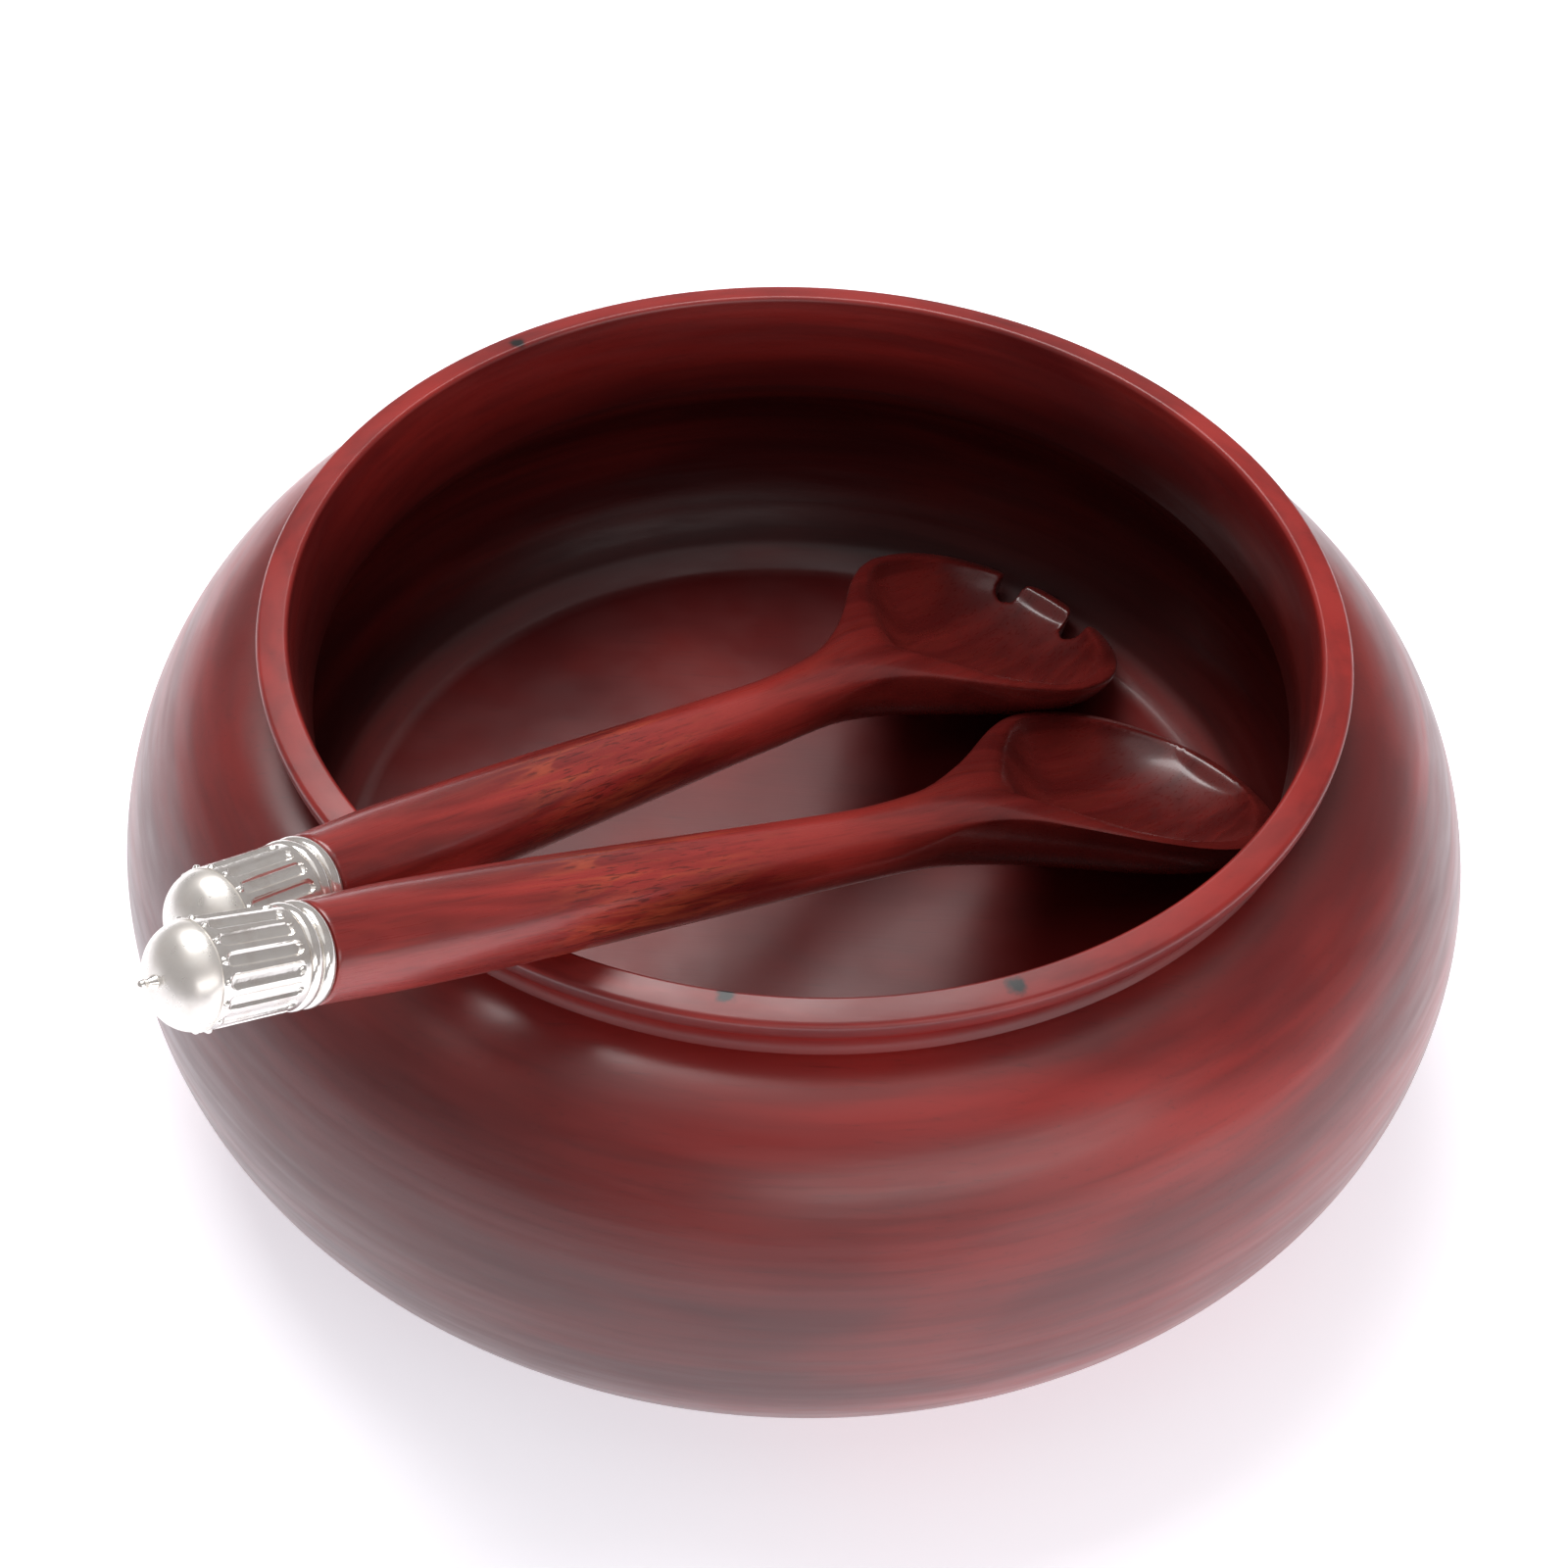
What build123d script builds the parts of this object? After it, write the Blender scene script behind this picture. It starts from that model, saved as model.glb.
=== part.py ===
"""Turned wooden serving bowl with a spoon and a fork server, each with a fluted silver cap.

Millimetres, +Z up. The origin is the centre of the bowl's flat foot. Each server is drawn
straight, with its wood starting at s = 0 where the silver cap ends and its tip at s = length,
and is then placed so that it rests on the rim and on the floor of the bowl.
"""
from build123d import *
import math
import os

os.makedirs("parts", exist_ok=True)

# ---- bowl ----
BOWL_HEIGHT = 120.0
BELLY_RADIUS = 150.0
BELLY_HEIGHT = 56.5
FOOT_RADIUS = 82.0
SHOULDER_POWER = 1.85      # superellipse powers of the two halves of the belly
BASE_POWER = 2.25
SHOULDER_TOP = (113.6, BOWL_HEIGHT - 13.2)
COVE_DEEPEST = (112.9, BOWL_HEIGHT - 9.0)
LIP_BOTTOM = (116.6, BOWL_HEIGHT - 5.0)
LIP_TOP = (116.9, BOWL_HEIGHT - 1.9)
RIM_OUTER = (116.2, BOWL_HEIGHT - 1.1)
RIM_INNER = (110.7, BOWL_HEIGHT)
MOUTH_RADIUS = 110.0
MOUTH_CHAMFER = 0.8
NECK_BOTTOM = (106.4, BOWL_HEIGHT - 23.0)
OUT_OF_NECK = (0.35, -1)   # direction in which the hollow leaves the neck
HOLLOW_UPPER = (114.2, BOWL_HEIGHT - 35.5)
HOLLOW_WIDEST = (119.5, BOWL_HEIGHT - 51.0)
HOLLOW_LOWER = (116.0, BOWL_HEIGHT - 66.5)
FLOOR_HEIGHT = BOWL_HEIGHT - 80.0
FLOOR_RADIUS = 103.0
FLOOR_SLANT = math.radians(28)   # the wall's slope where it meets the floor

# ---- servers, wood ----
SEAT_RADIUS = 9.5
SWELL_RADIUS = 10.0
SWELL_AT = 22.0
NECK_RADIUS = 7.45
NECK_AT = 165.5            # the flare starts here
TIP_LENGTH = 34.0          # widest place to tip
HEAD_HALF_WIDTH = 32.8
TIP_POWER = 2.35
BEND_AT = 161.5
BEND_LENGTH = 36.5
BEND = math.radians(3.5)
BEND_STEPS = 40
HANDLE_STATIONS = (0, 7, 22, 60, 110, 147)
FLARE_STATIONS = 6         # evenly spaced from the start of the flare to the widest place
TIP_STATIONS = (0, 0.2, 0.4, 0.58, 0.74, 0.86, 0.94, 0.98, 0.997)   # shares of TIP_LENGTH
RISE_BEFORE = 24.0         # the head's rim starts to rise this far before the flare
RISE_AFTER = 22.0          # and is at its full height this far after the flare starts
HEAD_RISE = 7.4            # the head's rim above the handle's axis
BELLY_DEPTH = 9.2          # the head's underside below the handle's axis
BELLY_POWER = 2.4
TIP_THICKNESS = 3.2
RIM_ROUND = 1.5            # half the thickness of the head's rim
WALL = 2.6
HOLLOW_START = 190.0
HOLLOW_TO_TIP = 3.0
HOLLOW_SECTIONS = 9
HOLLOW_END_GAP = 0.35      # the first and last section's distance from the ends, in sections
HOLLOW_PLAN_POWER = 0.35
HOLLOW_DEPTH_POWER = 0.8
HOLLOW_ABOVE = 4.0         # the cutter stands this far above the head
NOTCH_OFFSET = 10.2
NOTCH_HALF_WIDTH = 2.9
NOTCH_DEPTH = 5.5          # tip to the centre of the notch's round bottom
MIDDLE_TINE_CORNER = 5.0   # radius of the rounded corners at the notch's mouth
OUTER_TINE_CORNER = 2.0
NOTCH_CUTTER_HEIGHT = 60.0

# ---- silver caps ----
TENON_RADIUS = 7.6
TENON_LENGTH = 17.0
BORE_RADIUS = 8.4
SLEEVE_LIP = 0.1           # the sleeve starts this far behind the seat
RING_START = 0.25
RING_SEAT_RADIUS = 8.9
RING_RADIUS = 9.7
RING_WIDTH = 2.8
RING_GAP = 0.1
RING_COUNT = 2
SLEEVE_NEAR = 9.45
SLEEVE_FAR = 9.9
SLEEVE_START = 6.0
SLEEVE_END = 24.7
FLUTE_COUNT = 16
FLUTE_HALF_WIDTH = 1.25
FLUTE_DEPTH = 0.55
FLUTE_CUTTER_HEIGHT = 1.65
FLUTE_START = 7.2
FLUTE_END = 23.2
BEAD_RADIUS = 0.85
BEAD_AT = 23.7
BEAD_SINK = 0.35           # the bead's centre below the sleeve's widest radius
DOME_LENGTH = 7.1
DOME_WALL = 0.8
DOME_SHOULDER = 9.7
DOME_POWERS = (1.1, 0.85)  # of the sine along the axis and the cosine across it
CEMENT_START = 0.4
NIB_RADIUS = 1.25
NIB_TIP_RADIUS = 0.95
NIB_LENGTH = 3.3
SHANK_RADIUS = 0.7
SHANK_LENGTH = 6.0

# ---- length from cap seat to tip, and the resting place: angles in degrees, the seat's centre ----
SERVERS = {
    "spoon": {"length": 270.4, "heading": 41.84, "pitch": 23.52, "roll": -5.57,
              "seat": (-85.52, -135.60, 153.74)},
    "fork": {"length": 264.9, "heading": 52.25, "pitch": 21.28, "roll": 2.01,
             "seat": (-89.74, -108.41, 141.95)},
}


def smooth(start, end, s):
    """0 before start, 1 after end, and an even ease between."""
    u = min(max((s - start) / (end - start), 0.0), 1.0)
    return u * u * (3 - 2 * u)


def quarter_superellipse(centre, reach, power, steps=7):
    """Points from (centre + reach in r) to (centre + reach in z)."""
    points = []
    for i in range(steps + 1):
        angle = math.pi / 2 * i / steps
        r = centre[0] + reach[0] * max(math.cos(angle), 0.0) ** (2 / power)
        z = centre[1] + reach[1] * math.sin(angle) ** (2 / power)
        points.append((r, z))
    return points


def build_bowl():
    """One turned block: foot, belly, shoulder, cove, rim, neck, undercut hollow and floor."""
    shoulder = quarter_superellipse(
        (SHOULDER_TOP[0], BELLY_HEIGHT),
        (BELLY_RADIUS - SHOULDER_TOP[0], SHOULDER_TOP[1] - BELLY_HEIGHT), SHOULDER_POWER)
    base = quarter_superellipse(
        (FOOT_RADIUS, BELLY_HEIGHT),
        (BELLY_RADIUS - FOOT_RADIUS, -BELLY_HEIGHT), BASE_POWER)
    mouth = (MOUTH_RADIUS, BOWL_HEIGHT - MOUTH_CHAMFER)
    floor_edge = (FLOOR_RADIUS, FLOOR_HEIGHT)
    hollow = [NECK_BOTTOM, HOLLOW_UPPER, HOLLOW_WIDEST, HOLLOW_LOWER, floor_edge]
    into_floor = (-math.cos(FLOOR_SLANT), -math.sin(FLOOR_SLANT))
    with BuildSketch(Plane.XZ) as section:
        with BuildLine():
            Polyline((0, FLOOR_HEIGHT), (0, 0), (FOOT_RADIUS, 0))
            Spline(*base[::-1], tangents=[(1, 0), (0, 1)])
            Spline(*shoulder, tangents=[(0, 1), (-1, 0.1)])
            ThreePointArc(SHOULDER_TOP, COVE_DEEPEST, LIP_BOTTOM)
            Polyline(LIP_BOTTOM, LIP_TOP, RIM_OUTER, RIM_INNER, mouth, NECK_BOTTOM)
            Spline(*hollow, tangents=[OUT_OF_NECK, into_floor])
            Line(floor_edge, (0, FLOOR_HEIGHT))
        make_face()
    return revolve(section.sketch, Axis.Z)


def handle_radius(s):
    """The handle swells just past the cap, then tapers to the neck."""
    swell = SEAT_RADIUS + (SWELL_RADIUS - SEAT_RADIUS) * smooth(0, SWELL_AT, s)
    return swell + (NECK_RADIUS - SWELL_RADIUS) * smooth(SWELL_AT, NECK_AT, s)


def tip_share(s, length):
    """0 up to the head's widest place and 1 at the tip."""
    return max((s - length + TIP_LENGTH) / TIP_LENGTH, 0.0)


def half_width(s, length):
    """Plan outline: handle, concave flare to the widest place, then a blunt round tip."""
    u = tip_share(s, length)
    if u > 0:
        return HEAD_HALF_WIDTH * max(1 - u ** TIP_POWER, 0.0) ** (1 / TIP_POWER)
    flare = smooth(NECK_AT, length - TIP_LENGTH, s)
    return handle_radius(s) + (HEAD_HALF_WIDTH - NECK_RADIUS) * flare


def spine(s):
    """Where the axis runs in the server's side view, and its slope there."""
    x, z = min(s, BEND_AT), 0.0
    step = (s - x) / BEND_STEPS
    for i in range(BEND_STEPS):
        angle = BEND * smooth(BEND_AT, BEND_AT + BEND_LENGTH, BEND_AT + (i + 0.5) * step)
        x += step * math.cos(angle)
        z -= step * math.sin(angle)
    return x, z, BEND * smooth(BEND_AT, BEND_AT + BEND_LENGTH, s)


def section_heights(s, length):
    """Top, widest level and bottom of the cross-section, measured from the axis."""
    radius = handle_radius(s)
    head = smooth(NECK_AT - RISE_BEFORE, NECK_AT + RISE_AFTER, s)
    top = radius + (HEAD_RISE + RIM_ROUND - radius) * head
    level = HEAD_RISE * head
    depth = radius + (BELLY_DEPTH - radius) * head
    u = tip_share(s, length)
    if u > 0:
        depth = (BELLY_DEPTH + HEAD_RISE - TIP_THICKNESS / 2) * math.sqrt(max(1 - u ** BELLY_POWER, 0.0))
        depth += TIP_THICKNESS / 2 - HEAD_RISE
    return top, level, -depth


def oval(s, half, top, level, bottom, points=20):
    """A closed cross-section square to the axis at s."""
    x, z, angle = spine(s)
    ring = []
    for i in range(points):
        turn = 2 * math.pi * i / points
        rise = top - level if math.sin(turn) >= 0 else level - bottom
        height = level + rise * math.sin(turn)
        ring.append((x + height * math.sin(angle), half * math.cos(turn), z + height * math.cos(angle)))
    return Face(Wire([Edge.make_spline([Vector(*p) for p in ring], periodic=True)]))


def wooden_blank(length):
    """Handle and head as one smooth carved solid, with the tenon that the cap fits over."""
    widest = length - TIP_LENGTH
    stations = list(HANDLE_STATIONS)
    stations += [NECK_AT + (widest - NECK_AT) * i / FLARE_STATIONS for i in range(FLARE_STATIONS)]
    stations += [widest + TIP_LENGTH * share for share in TIP_STATIONS]
    faces = [oval(s, half_width(s, length), *section_heights(s, length)) for s in stations]
    body = loft(faces)
    tenon = Location((-TENON_LENGTH / 2, 0, 0), (0, 90, 0)) * Cylinder(TENON_RADIUS, TENON_LENGTH)
    return body + tenon


def scoop(length):
    """The hollow in the head, open at the top."""
    reach = (length - HOLLOW_TO_TIP - HOLLOW_START) / 2
    faces = []
    for i in range(HOLLOW_SECTIONS):
        turn = math.pi * (i + HOLLOW_END_GAP) / (HOLLOW_SECTIONS - 1 + 2 * HOLLOW_END_GAP)
        s = HOLLOW_START + reach * (1 - math.cos(turn))
        half = (half_width(s, length) - WALL) * math.sin(turn) ** HOLLOW_PLAN_POWER
        top, level, bottom = section_heights(s, length)
        depth = (level - bottom - WALL) * math.sin(turn) ** HOLLOW_DEPTH_POWER
        faces.append(oval(s, half, top + HOLLOW_ABOVE, level + RIM_ROUND, level - depth))
    return loft(faces)


def tip_outline(y, length):
    """How far from the cap seat the head's outline reaches at a distance y from the axis."""
    share = (abs(y) / HEAD_HALF_WIDTH) ** TIP_POWER
    return length - TIP_LENGTH + TIP_LENGTH * (1 - share) ** (1 / TIP_POWER)


def notch(side, length):
    """A round-bottomed slot, seen from above, whose mouth opens in a round corner on each side."""
    middle = side * NOTCH_OFFSET
    gap = Pos(length - NOTCH_DEPTH, middle) * Circle(NOTCH_HALF_WIDTH)
    gap += Pos(length, middle) * Rectangle(2 * NOTCH_DEPTH, 2 * NOTCH_HALF_WIDTH)
    for across in (-1, 1):
        corner = OUTER_TINE_CORNER if across == side else MIDDLE_TINE_CORNER
        wall = middle + across * NOTCH_HALF_WIDTH
        y = wall + across * corner
        slope = tip_outline(y + 0.5, length) - tip_outline(y - 0.5, length)
        steep = math.hypot(1, slope)
        s = tip_outline(y, length) - corner * steep
        touch = y - corner * slope / steep
        far = length + corner
        wedge = Pos((s + far) / 2, (wall + touch) / 2) * Rectangle(far - s, abs(touch - wall))
        gap += wedge - Pos(s, y) * Circle(corner)
    return gap


def notches(length):
    """The two gaps that part the fork's head into three tines."""
    gaps = notch(-1, length) + notch(1, length)
    return Pos(0, 0, -NOTCH_CUTTER_HEIGHT / 2) * extrude(gaps, NOTCH_CUTTER_HEIGHT)


def revolved(points):
    """A turned piece about the server's axis, from (distance behind the seat, radius) points."""
    with BuildSketch(Plane.XY) as profile:
        with BuildLine():
            Polyline(*[(-back, radius) for back, radius in points], close=True)
        make_face()
    return revolve(profile.sketch, Axis.X)


def dome_curve(radius, length, start, steps=6):
    """A slightly pointed dome from its widest place at start to the axis side."""
    curve = []
    for i in range(steps + 1):
        angle = math.pi / 2 * i / steps
        curve.append((start + length * math.sin(angle) ** DOME_POWERS[0],
                      max(radius * math.cos(angle) ** DOME_POWERS[1], SHANK_RADIUS)))
    return curve


def cap_rings():
    """Plain half-round rings side by side at the wood end of the cap."""
    rings = []
    for i in range(RING_COUNT):
        middle = RING_START + RING_WIDTH * (i + 0.5)
        half = (RING_WIDTH - RING_GAP) / 2
        with BuildSketch(Plane.XY) as profile:
            with BuildLine():
                Line((-(middle - half), RING_SEAT_RADIUS), (-(middle + half), RING_SEAT_RADIUS))
                ThreePointArc((-(middle + half), RING_SEAT_RADIUS), (-middle, RING_RADIUS),
                              (-(middle - half), RING_SEAT_RADIUS))
            make_face()
        rings.append(revolve(profile.sketch, Axis.X))
    return Compound(children=[ring.solids()[0] for ring in rings])


def cap_sleeve():
    """A tapering tube with round-ended flutes and a bead at the dome end of each flute."""
    sleeve = revolved([(SLEEVE_LIP, BORE_RADIUS), (SLEEVE_LIP, RING_SEAT_RADIUS),
                       (SLEEVE_START, RING_SEAT_RADIUS), (SLEEVE_START, SLEEVE_NEAR),
                       (SLEEVE_END, SLEEVE_FAR), (SLEEVE_END, BORE_RADIUS)])
    slope = (SLEEVE_FAR - SLEEVE_NEAR) / (SLEEVE_END - SLEEVE_START)
    middle = (FLUTE_START + FLUTE_END) / 2
    surface = SLEEVE_NEAR + slope * (middle - SLEEVE_START)
    slot = SlotOverall(FLUTE_END - FLUTE_START, 2 * FLUTE_HALF_WIDTH)
    tilt = math.degrees(math.atan(slope))
    cutter = Location((-middle, 0, surface - FLUTE_DEPTH), (0, tilt, 0)) * extrude(slot, FLUTE_CUTTER_HEIGHT)
    bead = Pos(-BEAD_AT, 0, SLEEVE_FAR - BEAD_SINK) * Sphere(BEAD_RADIUS)
    for i in range(FLUTE_COUNT):
        turn = Rot(360 * i / FLUTE_COUNT, 0, 0)
        sleeve -= turn * cutter
    for i in range(FLUTE_COUNT):
        turn = Rot(360 * i / FLUTE_COUNT, 0, 0)
        sleeve += turn * bead
    return sleeve - revolved([(0, 0), (0, BORE_RADIUS), (SLEEVE_END, BORE_RADIUS), (SLEEVE_END, 0)])


def cap_dome():
    """A thin shell closed at the end, apart from the nib's hole."""
    outer = dome_curve(DOME_SHOULDER, DOME_LENGTH, SLEEVE_END)
    inner = dome_curve(BORE_RADIUS, DOME_LENGTH - DOME_WALL, SLEEVE_END)
    return turned_shell(outer, inner)


def turned_shell(outer, inner):
    """Revolve the skin between two curves that both run from the seat side to the axis side."""
    outer_points = [(-back, radius) for back, radius in outer]
    inner_points = [(-back, radius) for back, radius in inner]
    with BuildSketch(Plane.XY) as profile:
        with BuildLine():
            Spline(*outer_points)
            Line(outer_points[-1], inner_points[-1])
            Spline(*inner_points)
            Line(inner_points[0], outer_points[0])
        make_face()
    return revolve(profile.sketch, Axis.X)


def cap_cement():
    """The cement that fills the cap around and beyond the tenon."""
    inner = dome_curve(BORE_RADIUS, DOME_LENGTH - DOME_WALL, SLEEVE_END)
    points = [(-back, radius) for back, radius in inner]
    with BuildSketch(Plane.XY) as profile:
        with BuildLine():
            Spline(*points)
            shank_end = SLEEVE_END + DOME_LENGTH - SHANK_LENGTH
            Polyline(points[-1], (-shank_end, SHANK_RADIUS), (-shank_end, 0), (-TENON_LENGTH, 0),
                     (-TENON_LENGTH, TENON_RADIUS), (-CEMENT_START, TENON_RADIUS),
                     (-CEMENT_START, BORE_RADIUS), points[0])
        make_face()
    return revolve(profile.sketch, Axis.X)


def cap_nib():
    """A small round-ended point on a shank that runs through the dome into the cement."""
    foot = SLEEVE_END + DOME_LENGTH
    shank_end = foot - SHANK_LENGTH
    ball_at = foot + NIB_LENGTH - NIB_TIP_RADIUS
    slant = NIB_TIP_RADIUS * math.sqrt(0.5)
    with BuildSketch(Plane.XY) as profile:
        with BuildLine():
            Polyline((-shank_end, 0), (-shank_end, SHANK_RADIUS), (-foot, SHANK_RADIUS),
                     (-foot, NIB_RADIUS), (-ball_at, NIB_TIP_RADIUS))
            ThreePointArc((-ball_at, NIB_TIP_RADIUS), (-ball_at - slant, slant),
                          (-ball_at - NIB_TIP_RADIUS, 0))
            Line((-ball_at - NIB_TIP_RADIUS, 0), (-shank_end, 0))
        make_face()
    return revolve(profile.sketch, Axis.X)


def resting_place(pose):
    """The placement that carries a straight-drawn server to where it rests."""
    heading = math.radians(pose["heading"])
    pitch = math.radians(pose["pitch"])
    roll = math.radians(pose["roll"])
    along = Vector(math.cos(pitch) * math.cos(heading), math.cos(pitch) * math.sin(heading),
                   -math.sin(pitch))
    level = Vector(-math.sin(heading), math.cos(heading), 0)
    square = along.cross(level)
    up = square * math.cos(roll) - level * math.sin(roll)
    return Plane(origin=pose["seat"], x_dir=along, z_dir=up).location


def save(name, shape, place=None):
    if place is not None:
        shape = shape.moved(place)
    export_step(shape, f"parts/{name}.step")


cap_pieces = {
    "cap_cement": cap_cement(),
    "cap_sleeve": cap_sleeve(),
    "cap_rings": cap_rings(),
    "cap_dome": cap_dome(),
    "cap_nib": cap_nib(),
}

save("bowl", build_bowl())
for kind, server in SERVERS.items():
    length = server["length"]
    wood = wooden_blank(length) - scoop(length)
    if kind == "fork":
        wood -= notches(length)
    place = resting_place(server)
    save(f"{kind}_wood", wood, place)
    for piece, shape in cap_pieces.items():
        save(f"{kind}_{piece}", shape, place)
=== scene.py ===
"""Looks of a turned wooden bowl with a spoon and a fork server that wear fluted silver caps.

Shapes are worked out in millimetres. A server is drawn straight along +X, with its wood starting
at x = 0 where the cap ends, and is then carried to the place its CAD nodes have in the frame.
"""
import math

import bmesh
import bpy
import numpy as np
from mathutils import Matrix, Vector


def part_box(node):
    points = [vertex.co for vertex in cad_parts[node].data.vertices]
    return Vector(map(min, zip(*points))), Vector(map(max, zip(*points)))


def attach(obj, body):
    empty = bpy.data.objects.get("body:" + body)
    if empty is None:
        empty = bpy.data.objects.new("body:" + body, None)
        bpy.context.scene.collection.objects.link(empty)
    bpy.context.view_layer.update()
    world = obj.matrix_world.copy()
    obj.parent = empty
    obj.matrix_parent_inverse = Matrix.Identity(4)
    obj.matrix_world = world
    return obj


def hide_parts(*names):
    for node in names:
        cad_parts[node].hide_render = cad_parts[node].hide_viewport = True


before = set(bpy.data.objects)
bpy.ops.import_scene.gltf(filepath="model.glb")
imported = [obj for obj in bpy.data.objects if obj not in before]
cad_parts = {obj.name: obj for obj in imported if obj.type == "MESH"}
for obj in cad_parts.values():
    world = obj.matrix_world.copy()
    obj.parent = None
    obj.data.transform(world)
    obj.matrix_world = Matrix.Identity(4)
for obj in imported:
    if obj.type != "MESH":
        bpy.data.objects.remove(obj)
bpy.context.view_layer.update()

MM = 0.001

# ---- bowl ----
BOWL_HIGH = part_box("bowl")[1]
BOWL_HEIGHT = BOWL_HIGH.z / MM
BELLY_RADIUS = BOWL_HIGH.x / MM
BELLY_HEIGHT = 56.5
FOOT_RADIUS = 82.0
SHOULDER_POWER = 1.85
BASE_POWER = 2.25
SHOULDER_TOP = (113.6, BOWL_HEIGHT - 13.2)
COVE_DEEPEST = (112.9, BOWL_HEIGHT - 9.0)
LIP_BOTTOM = (116.6, BOWL_HEIGHT - 5.0)
LIP_TOP = (116.9, BOWL_HEIGHT - 1.9)
RIM_OUTER = (116.2, BOWL_HEIGHT - 1.1)
RIM_INNER = (110.7, BOWL_HEIGHT)
MOUTH = (110.0, BOWL_HEIGHT - 0.8)
NECK_BOTTOM = (106.4, BOWL_HEIGHT - 23.0)
OUT_OF_NECK = (0.35, -1)
HOLLOW_UPPER = (114.2, BOWL_HEIGHT - 35.5)
HOLLOW_WIDEST = (119.5, BOWL_HEIGHT - 51.0)
HOLLOW_LOWER = (116.0, BOWL_HEIGHT - 66.5)
FLOOR_HEIGHT = BOWL_HEIGHT - 80.0
FLOOR_RADIUS = 103.0
FLOOR_SLANT = math.radians(28)
BOWL_SEGMENTS = 288
RIM_EDGE_ROUND = 0.45      # how far the rim's edges are rounded
BOWL_CREASE = math.radians(55)

# ---- where the bowl's wood, its gloss and its painted shade and light change: a radius, height or distance where each change starts and ends ----
FACE_TO_NECK = (112.2, 111.0)
OUTSIDE_TO_HOLLOW = (124.0, 122.0)
NECK_TO_HOLLOW = (BOWL_HEIGHT - 22, BOWL_HEIGHT - 24)
RIM_TO_INSIDE = (BOWL_HEIGHT, BOWL_HEIGHT - 26)
FOOT_TO_INSIDE = (30.0, 38.0)
WALL_TO_FLOOR = (46.0, 41.0)
LIP_TO_FACE = (BOWL_HEIGHT - 2.6, BOWL_HEIGHT - 1.4)
MOUTH_TO_FACE = (109.8, 110.6)
# painted shade: along a direction towards the front left, where the bowl's side starts to be coloured
# darker and where it is darkest
PAINTED_SHADE_SIDE = (80.0, 140.0)

# ---- servers, wood ----
SERVER_LENGTH = {"spoon": 270.4, "fork": 264.9}   # cap seat to tip
SEAT_RADIUS = 9.5
SWELL_RADIUS = 10.0
SWELL_AT = 22.0
NECK_RADIUS = 7.45
NECK_AT = 165.5
TIP_LENGTH = 34.0          # widest place to tip
HEAD_HALF_WIDTH = 32.8
TIP_POWER = 2.35
BEND_AT = 161.5
BEND_LENGTH = 36.5
BEND = math.radians(3.5)
HEAD_START = NECK_AT - 24.0
HEAD_FULL = NECK_AT + 22.0
HEAD_RISE = 7.4
BELLY_DEPTH = 9.2
BELLY_POWER = 2.4
TIP_THICKNESS = 3.2
RIM_ROUND = 1.5
WALL = 2.6
HOLLOW_START = 184.0
HOLLOW_TO_TIP = 3.0
RIM_SOFTNESS = 2.2         # how far the hollow's edge is rounded over at the rim
NECK_SOFTNESS = 6.0        # and where the hollow runs out towards the neck
NECK_FULLNESS = 1.8        # power of the hollow's cross-section: above 1 it runs out without an edge
HEAD_FULLNESS = 0.5
HOLLOW_WALL_RISE = 0.6     # the rise beyond the hollow's edge, times the distance squared
HOLLOW_EDGE_RISE = 0.4     # the hollow's edge above the crown of the head
TENON_RADIUS = 7.6
TENON_LENGTH = 17.0
NOTCH_OFFSET = 10.2
NOTCH_HALF_WIDTH = 2.9
NOTCH_DEPTH = 5.5
MIDDLE_TINE_CORNER = 5.0
OUTER_TINE_CORNER = 2.0
BEYOND_TIP = 20.0
CUTTER_HEIGHTS = (-60, 40)
FIGURE_STARTS = (38.0, 66.0)   # along the handle, where the orange figure comes and goes
FIGURE_ENDS = (125.0, 78.0)
# painted shade: along the server, where the head that lies in the bowl starts to be coloured darker and
# where it is darkest
HEAD_PAINTED_SHADE = (120.0, 190.0)
UNDERSIDE_POINTS = 44
TOP_POINTS = 84
VOXEL = 0.45
SMOOTHING_PASSES = 10

# ---- silver caps, as distances behind the seat ----
RING_START = 0.25
RING_WIDTH = 2.8
RING_COUNT = 2
RING_SEAT_RADIUS = 8.9
RING_RADIUS = 9.75
RING_MIDDLE = RING_START + RING_WIDTH * RING_COUNT / 2
BORE_RADIUS = 8.4
SLEEVE_START = 6.0
SLEEVE_END = 24.7
SLEEVE_NEAR = 9.45
SLEEVE_FAR = 9.9
FLUTE_COUNT = 16
FLUTE_START = 7.2
FLUTE_END = 23.2
FLUTE_HALF_WIDTH = 1.3
FLUTE_DEPTH = 0.7
BEAD_RADIUS = 0.7
BEAD_AT = 23.7
DOME_SHOULDER = 9.7
DOME_LENGTH = 7.1
DOME_WALL = 0.8
DOME_POWERS = (1.1, 0.85)   # of the sine along the axis and the cosine across it
SHANK_RADIUS = 0.7
NIB_RADIUS = 1.35
NIB_BALL = 0.95
NIB_LENGTH = 3.3
NIB_SINK = 0.5             # the nib's foot starts this far inside the dome
NIB_WAIST = 0.78
SHANK_DEPTH = 3.0
SHANK_CLEARANCE = 0.02

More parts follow.
